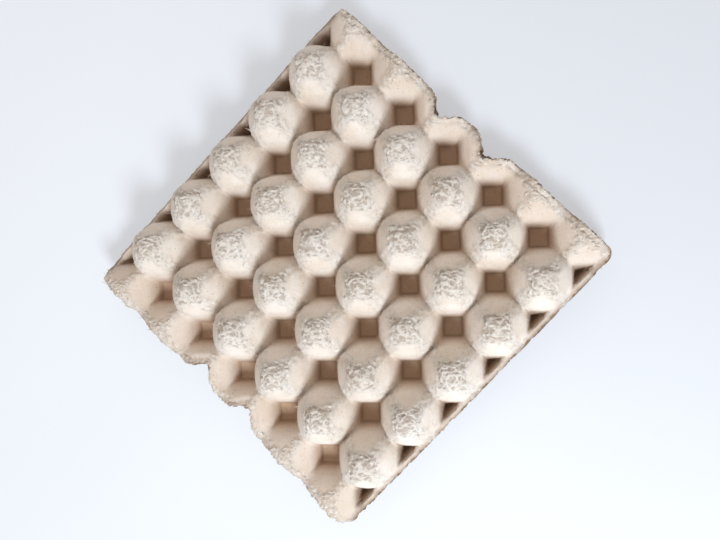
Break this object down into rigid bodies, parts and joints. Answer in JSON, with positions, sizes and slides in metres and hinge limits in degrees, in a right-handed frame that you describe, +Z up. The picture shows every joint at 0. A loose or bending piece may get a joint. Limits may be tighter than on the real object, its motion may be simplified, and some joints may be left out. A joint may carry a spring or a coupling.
{
  "type": "egg tray stack",
  "caption": "Nested moulded pulp egg trays lying upside down, with rows of domed cup undersides, square pits between them and finger notches in opposite edges.",
  "frame": {"origin": "middle of the stack, on the surface that the posts of the lower tray rest on", "axes": "+Z up out of the domed undersides of the cups, +X along a row of six cups towards a straight side, +Y along a row of five cups towards a notched end"},
  "size_m": [0.293, 0.299, 0.0609],
  "materials": {
    "upper_pulp": "matte",
    "lower_pulp": "matte"
  },
  "bodies": {
    "root": {"upper_tray": "upper_pulp", "lower_tray": "lower_pulp"}
  },
  "joints": []
}
